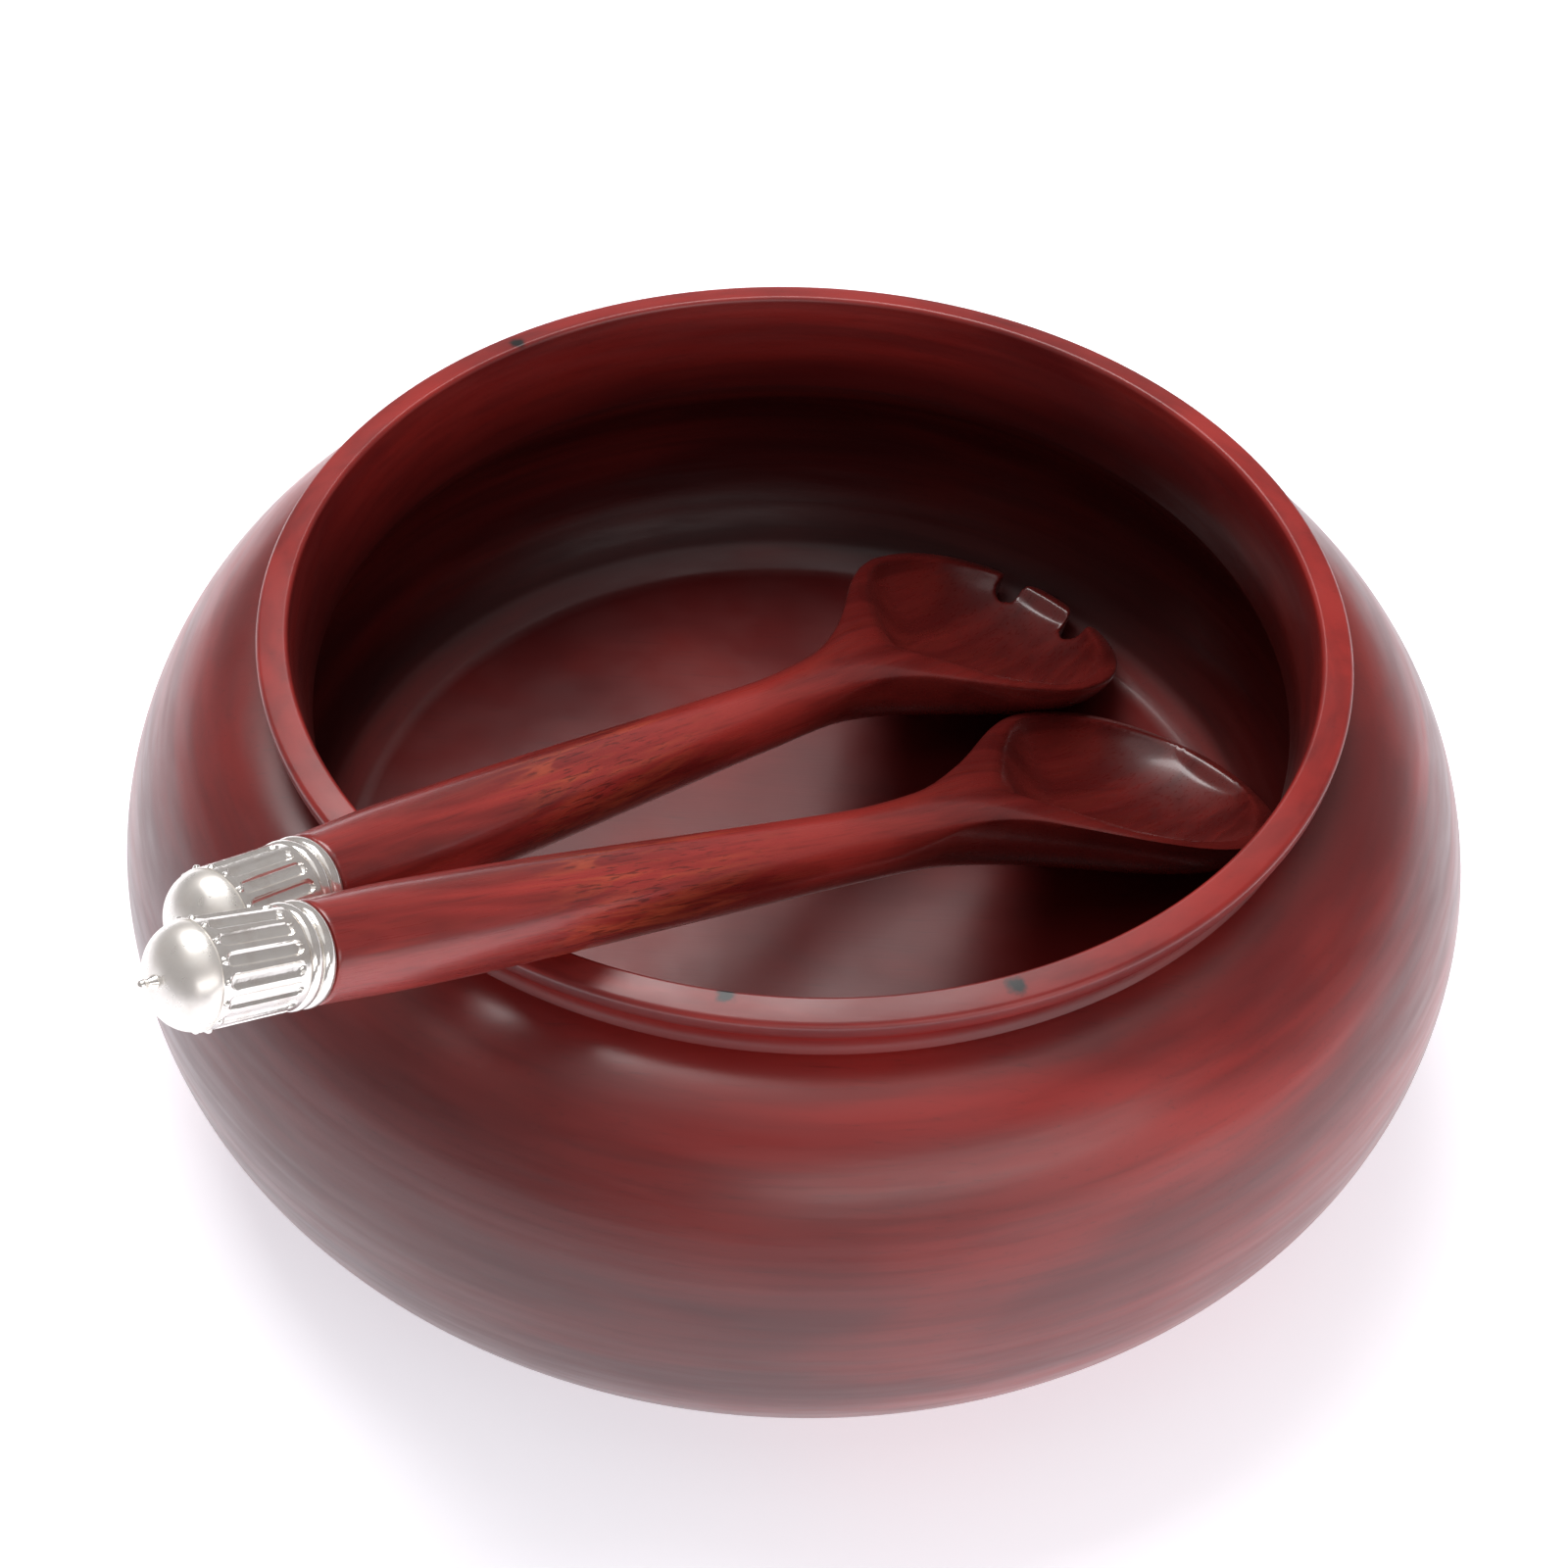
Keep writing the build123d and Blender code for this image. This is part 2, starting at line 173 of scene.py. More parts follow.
# ---- view and light ----
RIM_CENTRE = Vector((0, 0, BOWL_HEIGHT * MM))
VIEW_ELEVATION = math.radians(45.0)
VIEW_ROLL = math.radians(2.8485)
VIEW_DISTANCE = 0.6704
VIEW_SHIFT_RIGHT = 0.00304
VIEW_SHIFT_UP = 0.03819
LENS = 72.0
ROOM_COLOUR = (1.0, 0.93, 0.92, 1)
ROOM_BRIGHTNESS = 0.25
BACKDROP_COLOUR = (0.9, 0.9, 0.92, 1)
FLOOR_HALF_WIDTH = 3000.0
FLOOR_DROP = 0.2           # below the foot
SOFTBOXES = [              # name, place, aim, size, brightness, tint
    ("back", (-0.25, 0.55, 1.42), (0, 0, 0.1), (1.0, 0.85), 6.2, (1, 1, 1)),
    ("overhead", (0, -0.1, 1.7), (0, 0, 0), (1.6, 1.6), 0.5, (1, 1, 1)),
    ("front", (0.6, -1.13, 0.72), (0, 0, 0.08), (1.5, 0.42), 2.3, (1, 0.98, 0.98)),
    ("low_right", (1.1, -1.0, 0.1), (0, 0, 0.08), (1.0, 0.16), 1.8, (1, 1, 1)),
]


# ---------------------------------------------------------------- curves

def ease(start, end, s):
    """0 before start, 1 after end, and an even ease between."""
    u = np.clip((s - start) / (end - start), 0.0, 1.0)
    return u * u * (3 - 2 * u)


def smooth_least(a, b, reach):
    """The smaller of two heights, with the corner between them rounded over reach."""
    blend = np.clip(0.5 + 0.5 * (b - a) / reach, 0.0, 1.0)
    return b + (a - b) * blend - reach * blend * (1 - blend)


def unit(v):
    v = np.array(v, float)
    return v / np.linalg.norm(v)


def spline(points, first=None, last=None, steps=14):
    """A smooth curve through the points, with given directions at its ends."""
    points = np.array(points, float)
    chord = np.linalg.norm(np.diff(points, axis=0), axis=1)
    count = len(points)
    first = unit(points[1] - points[0] if first is None else first)
    last = unit(points[-1] - points[-2] if last is None else last)
    matrix = np.eye(count)
    wanted = np.zeros_like(points)
    wanted[0], wanted[-1] = first, last
    for i in range(1, count - 1):
        before, after = 1 / chord[i - 1], 1 / chord[i]
        matrix[i, i - 1:i + 2] = before, 2 * (before + after), after
        arriving = (points[i] - points[i - 1]) * before ** 2
        leaving = (points[i + 1] - points[i]) * after ** 2
        wanted[i] = 3 * (arriving + leaving)
    slope = np.linalg.solve(matrix, wanted)
    curve = []
    for i in range(count - 1):
        for u in np.arange(steps) / steps:
            curve.append((1 + 2 * u) * (1 - u) ** 2 * points[i] + u * u * (3 - 2 * u) * points[i + 1]
                         + chord[i] * (u * (1 - u) ** 2 * slope[i] - u * u * (1 - u) * slope[i + 1]))
    curve.append(points[-1])
    return np.array(curve)


def arc(start, through, end, steps=10):
    """A circular arc through three points."""
    (ax, ay), (bx, by), (cx, cy) = start, through, end
    d = 2 * (ax * (by - cy) + bx * (cy - ay) + cx * (ay - by))
    a2, b2, c2 = ax * ax + ay * ay, bx * bx + by * by, cx * cx + cy * cy
    ux = (a2 * (by - cy) + b2 * (cy - ay) + c2 * (ay - by)) / d
    uy = (a2 * (cx - bx) + b2 * (ax - cx) + c2 * (bx - ax)) / d
    radius = math.hypot(ax - ux, ay - uy)
    first = math.atan2(ay - uy, ax - ux)
    middle = math.atan2(by - uy, bx - ux)
    sweep = math.atan2(cy - uy, cx - ux) - first
    half = (middle - first) % (2 * math.pi)
    sweep = sweep % (2 * math.pi) if half < sweep % (2 * math.pi) else sweep % (2 * math.pi) - 2 * math.pi
    angles = first + sweep * np.linspace(0, 1, steps + 1)
    return np.stack([ux + radius * np.cos(angles), uy + radius * np.sin(angles)], axis=1)


def quarter_superellipse(centre, reach, power, steps=7):
    angles = np.linspace(0, math.pi / 2, steps + 1)
    r = centre[0] + reach[0] * np.maximum(np.cos(angles), 0) ** (2 / power)
    z = centre[1] + reach[1] * np.sin(angles) ** (2 / power)
    return np.stack([r, z], axis=1)


def rounded_corners(points, reach, steps=4):
    """The line through the points with every inner corner rounded over reach."""
    points = np.array(points, float)
    line = [points[0]]
    for before, corner, after in zip(points[:-2], points[1:-1], points[2:]):
        near = min(reach, np.linalg.norm(before - corner) * 0.45, np.linalg.norm(after - corner) * 0.45)
        start, end = corner + unit(before - corner) * near, corner + unit(after - corner) * near
        for u in np.linspace(0, 1, steps + 1):
            line.append((1 - u) ** 2 * start + 2 * u * (1 - u) * corner + u * u * end)
    line.append(points[-1])
    return np.array(line)


def resampled(line, count):
    """The same line with count evenly spaced points."""
    steps = np.linalg.norm(np.diff(line, axis=0), axis=1)
    length = np.concatenate([[0], np.cumsum(steps)])
    at = np.linspace(0, length[-1], count)
    return np.stack([np.interp(at, length, line[:, k]) for k in range(line.shape[1])], axis=1)


# ---------------------------------------------------------------- meshes

def mesh_object(name, vertices, faces, sharp=math.radians(40)):
    """A smooth-shaded object from points in millimetres, with edges sharper than an angle kept crisp."""
    mesh = bpy.data.meshes.new(name)
    mesh.from_pydata((np.array(vertices) * MM).tolist(), [], faces)
    bm = bmesh.new()
    bm.from_mesh(mesh)
    bmesh.ops.recalc_face_normals(bm, faces=bm.faces)
    for face in bm.faces:
        face.smooth = True
    for edge in bm.edges:
        edge.smooth = len(edge.link_faces) != 2 or edge.calc_face_angle(0) < sharp
    bm.to_mesh(mesh)
    bm.free()
    piece = bpy.data.objects.new(name, mesh)
    bpy.context.scene.collection.objects.link(piece)
    return piece


def put_in_place(piece, place):
    """Carry a straight-drawn piece to its place; its materials still follow the straight coordinates."""
    mesh = piece.data
    points = np.zeros(len(mesh.vertices) * 3)
    mesh.vertices.foreach_get("co", points)
    straight = mesh.attributes.new("straight", "FLOAT_VECTOR", "POINT")
    straight.data.foreach_set("vector", points)
    mesh.transform(place)


def lathe(profile, axis="Z", segments=96, closed=False):
    """Vertices and faces of a turned shape. Profile points are (radius, place along the axis)."""
    vertices, rings = [], []
    for radius, along in profile:
        count = 1 if radius < 1e-6 else segments
        rings.append(list(range(len(vertices), len(vertices) + count)))
        for i in range(count):
            turn = 2 * math.pi * i / segments
            across, up = radius * math.cos(turn), radius * math.sin(turn)
            vertices.append((across, up, along) if axis == "Z" else (along, across, up))
    pairs = list(zip(rings[:-1], rings[1:]))
    if closed:
        pairs.append((rings[-1], rings[0]))
    return vertices, joined_rings(pairs)


def joined_rings(pairs):
    """Faces between pairs of vertex rings; a ring of one vertex is a pole."""
    faces = []
    for low, high in pairs:
        count = max(len(low), len(high))
        for i in range(count):
            j = (i + 1) % count
            if len(low) == 1:
                faces.append((low[0], high[j], high[i]))
            elif len(high) == 1:
                faces.append((low[i], low[j], high[0]))
            else:
                faces.append((low[i], low[j], high[j], high[i]))
    return faces


# ---------------------------------------------------------------- bowl

def bowl_profile():
    """The turned section from the centre of the foot, round the outside, to the centre of the floor."""
    base = quarter_superellipse((FOOT_RADIUS, BELLY_HEIGHT),
                                (BELLY_RADIUS - FOOT_RADIUS, -BELLY_HEIGHT), BASE_POWER)
    shoulder = quarter_superellipse((SHOULDER_TOP[0], BELLY_HEIGHT),
                                    (BELLY_RADIUS - SHOULDER_TOP[0], SHOULDER_TOP[1] - BELLY_HEIGHT),
                                    SHOULDER_POWER)
    base = spline(base[::-1], (1, 0), (0, 1))
    shoulder = spline(shoulder, (0, 1), (-1, 0.1))
    cove = arc(SHOULDER_TOP, COVE_DEEPEST, LIP_BOTTOM)
    rim = rounded_corners([cove[-2], LIP_BOTTOM, LIP_TOP, RIM_OUTER, RIM_INNER, MOUTH, NECK_BOTTOM],
                          RIM_EDGE_ROUND)[1:]
    hollow = spline([NECK_BOTTOM, HOLLOW_UPPER, HOLLOW_WIDEST, HOLLOW_LOWER, (FLOOR_RADIUS, FLOOR_HEIGHT)],
                    OUT_OF_NECK, (-math.cos(FLOOR_SLANT), -math.sin(FLOOR_SLANT)), steps=16)
    foot = [(0, 0)] + [(r, 0) for r in np.linspace(8, FOOT_RADIUS - 4, 8)]
    floor = [(r, FLOOR_HEIGHT) for r in np.linspace(FLOOR_RADIUS - 3, 8, 14)] + [(0, FLOOR_HEIGHT)]
    parts = [foot, base, shoulder[1:], cove[1:-2], rim, hollow[1:], floor]
    return np.concatenate([np.array(part) for part in parts])


def build_bowl():
    vertices, faces = lathe(bowl_profile(), segments=BOWL_SEGMENTS)
    bowl = mesh_object("bowl_turned", vertices, faces, sharp=BOWL_CREASE)
    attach(bowl, "bowl")
    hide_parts("bowl")
    return bowl


# ---------------------------------------------------------------- servers

def node_points(name):
    """A CAD node's vertices."""
    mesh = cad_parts[name].data
    points = np.zeros(len(mesh.vertices) * 3)
    mesh.vertices.foreach_get("co", points)
    return points.reshape(-1, 3)


def centre_of(name):
    """The mean of a turned node's different vertices, which lies on its axis."""
    return np.unique(node_points(name).round(6), axis=0).mean(axis=0)


def server_place(kind):
    """The matrix that carries the straight-drawn server to the place of its CAD nodes."""
    rings = centre_of(f"{kind}_cap_rings")
    along = unit(rings - centre_of(f"{kind}_cap_dome"))
    seat = rings + along * RING_MIDDLE * MM
    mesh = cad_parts[f"{kind}_wood"].data
    mesh.calc_loop_triangles()
    points = node_points(f"{kind}_wood")
    corners = points[[tuple(t.vertices) for t in mesh.loop_triangles]]
    middles = corners.mean(axis=1) - seat
    areas = np.linalg.norm(np.cross(corners[:, 1] - corners[:, 0], corners[:, 2] - corners[:, 0]), axis=1)
    head = middles @ along > HEAD_FULL * MM
    flat = middles[head] - np.outer(middles[head] @ along, along)
    weight = areas[head][:, None]
    flat -= (flat * weight).sum(axis=0) / weight.sum()
    spread, directions = np.linalg.eigh((flat * weight).T @ flat)
    side = directions[:, int(np.argmax(spread))]
    up = np.cross(along, side)
    if up[2] < 0:
        up = -up
    side = np.cross(up, along)
    matrix = Matrix.Identity(4)
    for row in range(3):
        matrix[row][0], matrix[row][1], matrix[row][2] = along[row], side[row], up[row]
        matrix[row][3] = seat[row]
    return matrix


def handle_radius(s):
    """The handle swells just past the cap, then tapers to the neck."""
    swell = SEAT_RADIUS + (SWELL_RADIUS - SEAT_RADIUS) * ease(0, SWELL_AT, s)
    return swell + (NECK_RADIUS - SWELL_RADIUS) * ease(SWELL_AT, NECK_AT, s)


def tip_share(s, length):
    """0 up to the head's widest place and 1 at the tip."""
    return max((s - length + TIP_LENGTH) / TIP_LENGTH, 0.0)


def half_width(s, length):
    """Plan outline: handle, concave flare to the widest place, then a blunt round tip."""
    u = tip_share(s, length)
    if u > 0:
        return HEAD_HALF_WIDTH * max(1 - u ** TIP_POWER, 0.0) ** (1 / TIP_POWER)
    return handle_radius(s) + (HEAD_HALF_WIDTH - NECK_RADIUS) * ease(NECK_AT, length - TIP_LENGTH, s)


def spine(s):
    """Where the bent axis runs in side view, and its slope there."""
    at = np.linspace(min(s, BEND_AT), s, 81)
    angle = BEND * ease(BEND_AT, BEND_AT + BEND_LENGTH, (at[1:] + at[:-1]) / 2)
    step = at[1] - at[0]
    slope = BEND * float(ease(BEND_AT, BEND_AT + BEND_LENGTH, s))
    return at[0] + step * np.cos(angle).sum(), -step * np.sin(angle).sum(), slope


def section_heights(s, length):
    """Top, widest level and bottom of the cross-section, measured from the axis."""
    radius = handle_radius(s)
    head = ease(HEAD_START, HEAD_FULL, s)
    top = radius + (HEAD_RISE + RIM_ROUND - radius) * head
    level = HEAD_RISE * head
    depth = radius + (BELLY_DEPTH - radius) * head
    u = tip_share(s, length)
    if u > 0:
        depth = (BELLY_DEPTH + HEAD_RISE - TIP_THICKNESS / 2) * math.sqrt(max(1 - u ** BELLY_POWER, 0.0))
        depth += TIP_THICKNESS / 2 - HEAD_RISE
    return top, level, -depth


def sunk(crown, y, s, length, half, level, bottom):
    """The top of a cross-section after the hollow, which fades out softly towards the neck."""
    reach = (length - HOLLOW_TO_TIP - HOLLOW_START) / 2
    share = (s - HOLLOW_START - reach) / reach
    if abs(share) >= 1:
        return crown
    inside = math.sqrt(1 - share * share)
    scoop_half = (half - WALL) * inside ** (0.4 if share > 0 else 0.7)
    depth = (level - bottom - WALL) * inside ** (0.9 if share > 0 else 2.2) + RIM_ROUND
    softness = NECK_SOFTNESS + (RIM_SOFTNESS - NECK_SOFTNESS) * ease(-1, 0.2, share)
    fullness = NECK_FULLNESS + (HEAD_FULLNESS - NECK_FULLNESS) * ease(-0.9, 0.25, share)
    across = np.clip(1 - (y / scoop_half) ** 2, 0, 1) ** fullness
    hollow = level + RIM_ROUND + HOLLOW_EDGE_RISE - depth * across
    hollow = hollow + HOLLOW_WALL_RISE * np.maximum(np.abs(y) - scoop_half, 0) ** 2
    hollow = hollow + softness * (1 - ease(-1, -0.3, share)) + 2 * softness * ease(0.93, 1, share)
    return smooth_least(crown, hollow, softness)


def section_ring(s, length):
    """One closed cross-section, with the hollow already sunk into its top."""
    half = half_width(s, length)
    top, level, bottom = section_heights(s, length)
    edge = (s - (length - RIM_ROUND)) / RIM_ROUND
    nose = math.sqrt(max(1 - max(edge, 0) ** 2, 0.0))
    turn = np.linspace(0, math.pi, 240)
    y = half * np.cos(turn)
    under = level - (level - bottom) * nose * np.sin(turn)
    crown = level + (top - level) * nose * np.sin(turn)
    crown = sunk(crown, y, s, length, half, level, bottom)
    lower = resampled(np.stack([y, under], axis=1), UNDERSIDE_POINTS + 1)[:-1]
    upper = resampled(np.stack([y, crown], axis=1), TOP_POINTS + 1)[::-1][:-1]
    ring = np.concatenate([lower, upper])
    x, z, slope = spine(s)
    along = x + ring[:, 1] * math.sin(slope)
    up = z + ring[:, 1] * math.cos(slope)
    return np.stack([along, ring[:, 0], up], axis=1)


def round_section(s, radius):
    """A circular cross-section with as many points as the carved ones."""
    low = -np.linspace(0, math.pi, UNDERSIDE_POINTS + 1)[:-1]
    high = np.linspace(math.pi, 0, TOP_POINTS + 1)[:-1]
    turn = np.concatenate([low, high])
    return np.stack([np.full(len(turn), s), radius * np.cos(turn), radius * np.sin(turn)], axis=1)


def server_mesh(length):
    """Vertices and faces of tenon, handle and head as one closed skin."""
    widest = length - TIP_LENGTH
    tip = widest + TIP_LENGTH * np.sin(np.linspace(0, math.pi / 2, 60))[1:-1]
    handle = np.linspace(1.2, HEAD_START, 40)
    stations = np.concatenate([handle, np.linspace(HEAD_START, widest, 80)[1:], tip])
    rings = [round_section(-TENON_LENGTH, TENON_RADIUS), round_section(-0.3, TENON_RADIUS),
             round_section(0, TENON_RADIUS + 0.2), round_section(0, SEAT_RADIUS - 0.45),
             round_section(0.12, SEAT_RADIUS - 0.18), round_section(0.5, SEAT_RADIUS)]
    rings += [section_ring(s, length) for s in stations]
    x, z, slope = spine(length)
    end = (x + HEAD_RISE * math.sin(slope), 0, z + HEAD_RISE * math.cos(slope))
    vertices = np.concatenate([np.array([[-TENON_LENGTH, 0, 0]])] + rings + [np.array([end])])
    size = UNDERSIDE_POINTS + TOP_POINTS
    numbers = [[0]] + [list(range(1 + i * size, 1 + (i + 1) * size)) for i in range(len(rings))]
    numbers.append([len(vertices) - 1])
    return vertices, joined_rings(list(zip(numbers[:-1], numbers[1:])))


def tip_outline(y, length):
    """How far from the cap seat the head's outline reaches at a distance y from the axis."""
    share = (abs(y) / HEAD_HALF_WIDTH) ** TIP_POWER
    return length - TIP_LENGTH + TIP_LENGTH * (1 - share) ** (1 / TIP_POWER)


def slot_outline(side, length):
    """A notch between tines: a round bottom, straight sides and a mouth with a round corner each side."""
    middle = side * NOTCH_OFFSET
    bottom = length - NOTCH_DEPTH
    outline = []
    for turn in np.linspace(math.pi / 2, 3 * math.pi / 2, 13):
        outline.append((bottom + NOTCH_HALF_WIDTH * math.cos(turn),
                        middle + NOTCH_HALF_WIDTH * math.sin(turn)))
    for across in (-1, 1):
        radius = OUTER_TINE_CORNER if across == side else MIDDLE_TINE_CORNER
        y = middle + across * (NOTCH_HALF_WIDTH + radius)
        slope = tip_outline(y + 0.5, length) - tip_outline(y - 0.5, length)
        s = tip_outline(y, length) - radius * math.hypot(1, slope)
        out = math.atan2(-slope, 1)
        corner = []
        for turn in np.linspace(-across * math.pi / 2, out, 9):
            corner.append((s + radius * math.cos(turn), y + radius * math.sin(turn)))
        corner.append((s + BEYOND_TIP * math.cos(out), y + BEYOND_TIP * math.sin(out)))
        outline += corner if across < 0 else corner[::-1]
    return outline


def notch_cutter(length):
    """Both notches as upright prisms that reach through the head."""
    vertices, faces = [], []
    for side in (-1, 1):
        outline = slot_outline(side, length)
        count, first = len(outline), len(vertices)
        for height in CUTTER_HEIGHTS:
            vertices += [(x, y, height) for x, y in outline]
        low = list(range(first, first + count))
        high = list(range(first + count, first + 2 * count))
        faces += joined_rings([(low, high)]) + [tuple(low), tuple(high[::-1])]
    return mesh_object("notch_cutter", vertices, faces)


def apply_modifiers(piece):
    """Make the modified shape the piece's own mesh."""
    bpy.context.view_layer.update()
    shaped = piece.evaluated_get(bpy.context.evaluated_depsgraph_get())
    mesh = bpy.data.meshes.new_from_object(shaped)
    piece.modifiers.clear()
    piece.data = mesh


def part_the_tines(piece, length):
    """Cut the notches, then remesh and smooth so that every edge is softly rounded."""
    cutter = notch_cutter(length)
    cut = piece.modifiers.new("notches", "BOOLEAN")
    cut.operation = "DIFFERENCE"
    cut.object = cutter
    cut.solver = "EXACT"
    remesh = piece.modifiers.new("even_mesh", "REMESH")
    remesh.mode = "VOXEL"
    remesh.voxel_size = VOXEL * MM
    remesh.use_smooth_shade = True
    soften = piece.modifiers.new("soften", "SMOOTH")
    soften.factor = 0.5
    soften.iterations = SMOOTHING_PASSES
    apply_modifiers(piece)
    bpy.data.objects.remove(cutter)


def build_server_wood(kind):
    length = SERVER_LENGTH[kind]
    vertices, faces = server_mesh(length)
    wood = mesh_object(f"{kind}_carved", vertices, faces)
    if kind == "fork":
        part_the_tines(wood, length)
    put_in_place(wood, server_place(kind))
    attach(wood, kind)
    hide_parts(f"{kind}_wood")
    return wood


# ---------------------------------------------------------------- silver caps

def dome_curve(radius, length, steps=26):
    """A slightly pointed dome, from its widest place to the nib."""
    u = np.linspace(0, math.pi / 2, steps)
    back = SLEEVE_END + length * np.sin(u) ** DOME_POWERS[0]
    across = radius * np.maximum(np.cos(u), 0) ** DOME_POWERS[1]
    return np.stack([np.maximum(across, SHANK_RADIUS), -back], axis=1)


def ring_profile(number):
    """One half-round ring with a flat seat."""
    middle = -(RING_START + RING_WIDTH * (number + 0.5))
    half = RING_WIDTH / 2 - 0.06
    turn = np.linspace(0, math.pi, 15)
    radius = RING_SEAT_RADIUS + (RING_RADIUS - RING_SEAT_RADIUS) * np.sin(turn) ** 0.8
    return np.stack([radius, middle + half * np.cos(turn)], axis=1)


def sleeve_radius(back, turn):
    """The sleeve's surface: a taper, flutes with round ends, and a bead at the far end of each."""
    base = SLEEVE_NEAR + (SLEEVE_FAR - SLEEVE_NEAR) * (back - SLEEVE_START) / (SLEEVE_END - SLEEVE_START)
    pitch = 2 * math.pi / FLUTE_COUNT
    across = base * ((turn + pitch / 2) % pitch - pitch / 2)
    middle = (FLUTE_START + FLUTE_END) / 2
    straight = (FLUTE_END - FLUTE_START) / 2 - FLUTE_HALF_WIDTH
    beyond = np.maximum(np.abs(back - middle) - straight, 0)
    share = np.hypot(across, beyond) / FLUTE_HALF_WIDTH
    carved = FLUTE_DEPTH * np.sqrt(np.clip(1 - share ** 3, 0, 1))
    bead_share = np.hypot(across, back - BEAD_AT) / BEAD_RADIUS
    bead = 0.75 * BEAD_RADIUS * np.sqrt(np.clip(1 - bead_share ** 2, 0, 1))
    return base - np.where(bead > 0, 0, carved) + bead


def sleeve_mesh():
    """The fluted tube with its bore, as one closed skin."""
    rows, columns = 84, FLUTE_COUNT * 24
    turn = 2 * math.pi * np.arange(columns) / columns
    backs = np.linspace(SLEEVE_START, SLEEVE_END, rows)
    circles = [(SLEEVE_START, np.full(columns, BORE_RADIUS))]
    circles += [(back, sleeve_radius(back, turn)) for back in backs]
    circles.append((SLEEVE_END, np.full(columns, BORE_RADIUS)))
    vertices = []
    for back, radius in circles:
        vertices += list(zip(np.full(columns, -back), radius * np.cos(turn), radius * np.sin(turn)))
    numbers = [list(range(i * columns, (i + 1) * columns)) for i in range(len(circles))]
    return vertices, joined_rings(list(zip(numbers, numbers[1:] + numbers[:1])))


def combined(shapes):
    """Several (vertices, faces) shapes as one."""
    vertices, faces = [], []
    for points, polygons in shapes:
        first = len(vertices)
        vertices += list(points)
        faces += [tuple(first + i for i in polygon) for polygon in polygons]
    return vertices, faces


def nib_profile():
    foot = SLEEVE_END + DOME_LENGTH - NIB_SINK
    ball = foot + NIB_SINK + NIB_LENGTH - NIB_BALL
    shank = SHANK_RADIUS - SHANK_CLEARANCE
    neck = [(0, SHANK_DEPTH - foot), (shank, SHANK_DEPTH - foot), (shank, -foot),
            (NIB_RADIUS, -foot - 0.25), (NIB_RADIUS, -foot - 0.6), (NIB_WAIST, 0.7 - ball)]
    turn = np.linspace(math.radians(35), math.pi / 2, 9)
    tip = np.stack([NIB_BALL * np.cos(turn), -ball - NIB_BALL * 1.1 * np.sin(turn)], axis=1)
    tip[-1, 0] = 0
    start = [(NIB_BALL * 0.98, -ball)]
    return rounded_corners(neck + start + tip.tolist(), 0.12, 2)


def build_cap(kind, materials):
    """The silver pieces of one cap, at the place of the CAD ones."""
    place = server_place(kind)
    dome = np.concatenate([dome_curve(DOME_SHOULDER, DOME_LENGTH),
                           dome_curve(BORE_RADIUS, DOME_LENGTH - DOME_WALL)[::-1]])
    rings = [lathe(ring_profile(i), "X", 160, True) for i in range(RING_COUNT)]
    shapes = {
        "rings": (combined(rings), "polished_silver"),
        "sleeve": (sleeve_mesh(), "polished_silver"),
        "dome": (lathe(dome, "X", 160, True), "satin_silver"),
        "nib": (lathe(nib_profile(), "X", 48), "polished_silver"),
    }
    for part, ((vertices, faces), slot) in shapes.items():
        piece = mesh_object(f"{kind}_silver_{part}", vertices, faces)
        put_in_place(piece, place)
        piece.data.materials.append(materials[slot])
        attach(piece, kind)
        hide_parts(f"{kind}_cap_{part}")


# ---------------------------------------------------------------- materials

